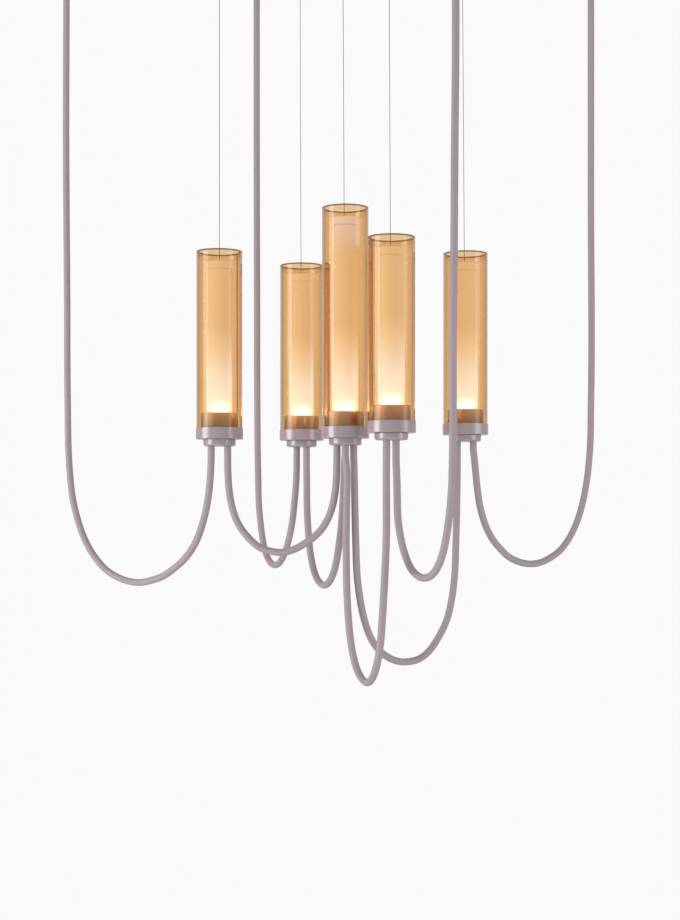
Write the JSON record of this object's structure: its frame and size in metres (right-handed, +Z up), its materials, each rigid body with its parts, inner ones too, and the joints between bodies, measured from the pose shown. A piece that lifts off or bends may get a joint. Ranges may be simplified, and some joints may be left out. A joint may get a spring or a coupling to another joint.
{
  "type": "chandelier",
  "caption": "Chandelier of amber glass tube lamps hung on thin steel wires and joined by looping grey hoses, with frosted diffusers and painted base rings",
  "frame": {"origin": "top face of lamp 3's wire gripper, on the ceiling plane", "axes": "X along the row of lamps, to the viewer's right; Y away from the viewer; Z up"},
  "size_m": [0.936, 0.569, 1.1886],
  "materials": {
    "amber_glass": "clear",
    "frosted_diffuser": "frosted",
    "turned_metal": "turned",
    "grey_paint": "satin",
    "grey_hose": "matte",
    "steel_wire": "bright",
    "nickel": "satin",
    "steel_plate": "zinc plated",
    "white_board": "matte",
    "white_terminal": "matte"
  },
  "bodies": {
    "frame": {"heat_sink_1": "turned_metal", "led_board_1": "white_board", "base_ring_1": "grey_paint", "hub_1": "grey_paint", "suspension_wire_1": "steel_wire", "wire_gripper_1": "nickel", "heat_sink_2": "turned_metal", "led_board_2": "white_board", "base_ring_2": "grey_paint", "hub_2": "grey_paint", "suspension_wire_2": "steel_wire", "wire_gripper_2": "nickel", "heat_sink_3": "turned_metal", "led_board_3": "white_board", "base_ring_3": "grey_paint", "hub_3": "grey_paint", "suspension_wire_3": "steel_wire", "wire_gripper_3": "nickel", "heat_sink_4": "turned_metal", "led_board_4": "white_board", "base_ring_4": "grey_paint", "hub_4": "grey_paint", "suspension_wire_4": "steel_wire", "wire_gripper_4": "nickel", "heat_sink_5": "turned_metal", "led_board_5": "white_board", "base_ring_5": "grey_paint", "hub_5": "grey_paint", "suspension_wire_5": "steel_wire", "wire_gripper_5": "nickel", "hose_1": "grey_hose", "hose_2": "grey_hose", "hose_3": "grey_hose", "hose_4": "grey_hose", "hose_5": "grey_hose", "hose_6": "grey_hose", "hose_7": "grey_hose", "hose_8": "grey_hose", "ceiling_cup_1": "grey_paint", "ceiling_disc_1": "steel_plate", "terminal_block_1": "white_terminal", "ceiling_cup_3": "grey_paint", "ceiling_disc_3": "steel_plate", "terminal_block_3": "white_terminal", "ceiling_cup_7": "grey_paint", "ceiling_disc_7": "steel_plate", "terminal_block_7": "white_terminal", "ceiling_cup_8": "grey_paint", "ceiling_disc_8": "steel_plate", "terminal_block_8": "white_terminal"},
    "glass_1": {"glass_tube_1": "amber_glass"},
    "inner_1": {"diffuser_1": "frosted_diffuser"},
    "glass_2": {"glass_tube_2": "amber_glass"},
    "inner_2": {"diffuser_2": "frosted_diffuser"},
    "glass_3": {"glass_tube_3": "amber_glass"},
    "inner_3": {"diffuser_3": "frosted_diffuser"},
    "glass_4": {"glass_tube_4": "amber_glass"},
    "inner_4": {"diffuser_4": "frosted_diffuser"},
    "glass_5": {"glass_tube_5": "amber_glass"},
    "inner_5": {"diffuser_5": "frosted_diffuser"}
  },
  "joints": [
    {"name": "glass_1_lift", "type": "slide", "parent": "frame", "child": "glass_1", "axis": [0, 0, 1], "range_m": [0, 0.5]},
    {"name": "diffuser_1_lift", "type": "slide", "parent": "frame", "child": "inner_1", "axis": [0, 0, 1], "range_m": [0, 0.3]},
    {"name": "glass_2_lift", "type": "slide", "parent": "frame", "child": "glass_2", "axis": [0, 0, 1], "range_m": [0, 0.5]},
    {"name": "diffuser_2_lift", "type": "slide", "parent": "frame", "child": "inner_2", "axis": [0, 0, 1], "range_m": [0, 0.3]},
    {"name": "glass_3_lift", "type": "slide", "parent": "frame", "child": "glass_3", "axis": [0, 0, 1], "range_m": [0, 0.45]},
    {"name": "diffuser_3_lift", "type": "slide", "parent": "frame", "child": "inner_3", "axis": [0, 0, 1], "range_m": [0, 0.3]},
    {"name": "glass_4_lift", "type": "slide", "parent": "frame", "child": "glass_4", "axis": [0, 0, 1], "range_m": [0, 0.5]},
    {"name": "diffuser_4_lift", "type": "slide", "parent": "frame", "child": "inner_4", "axis": [0, 0, 1], "range_m": [0, 0.3]},
    {"name": "glass_5_lift", "type": "slide", "parent": "frame", "child": "glass_5", "axis": [0, 0, 1], "range_m": [0, 0.5]},
    {"name": "diffuser_5_lift", "type": "slide", "parent": "frame", "child": "inner_5", "axis": [0, 0, 1], "range_m": [0, 0.3]}
  ]
}
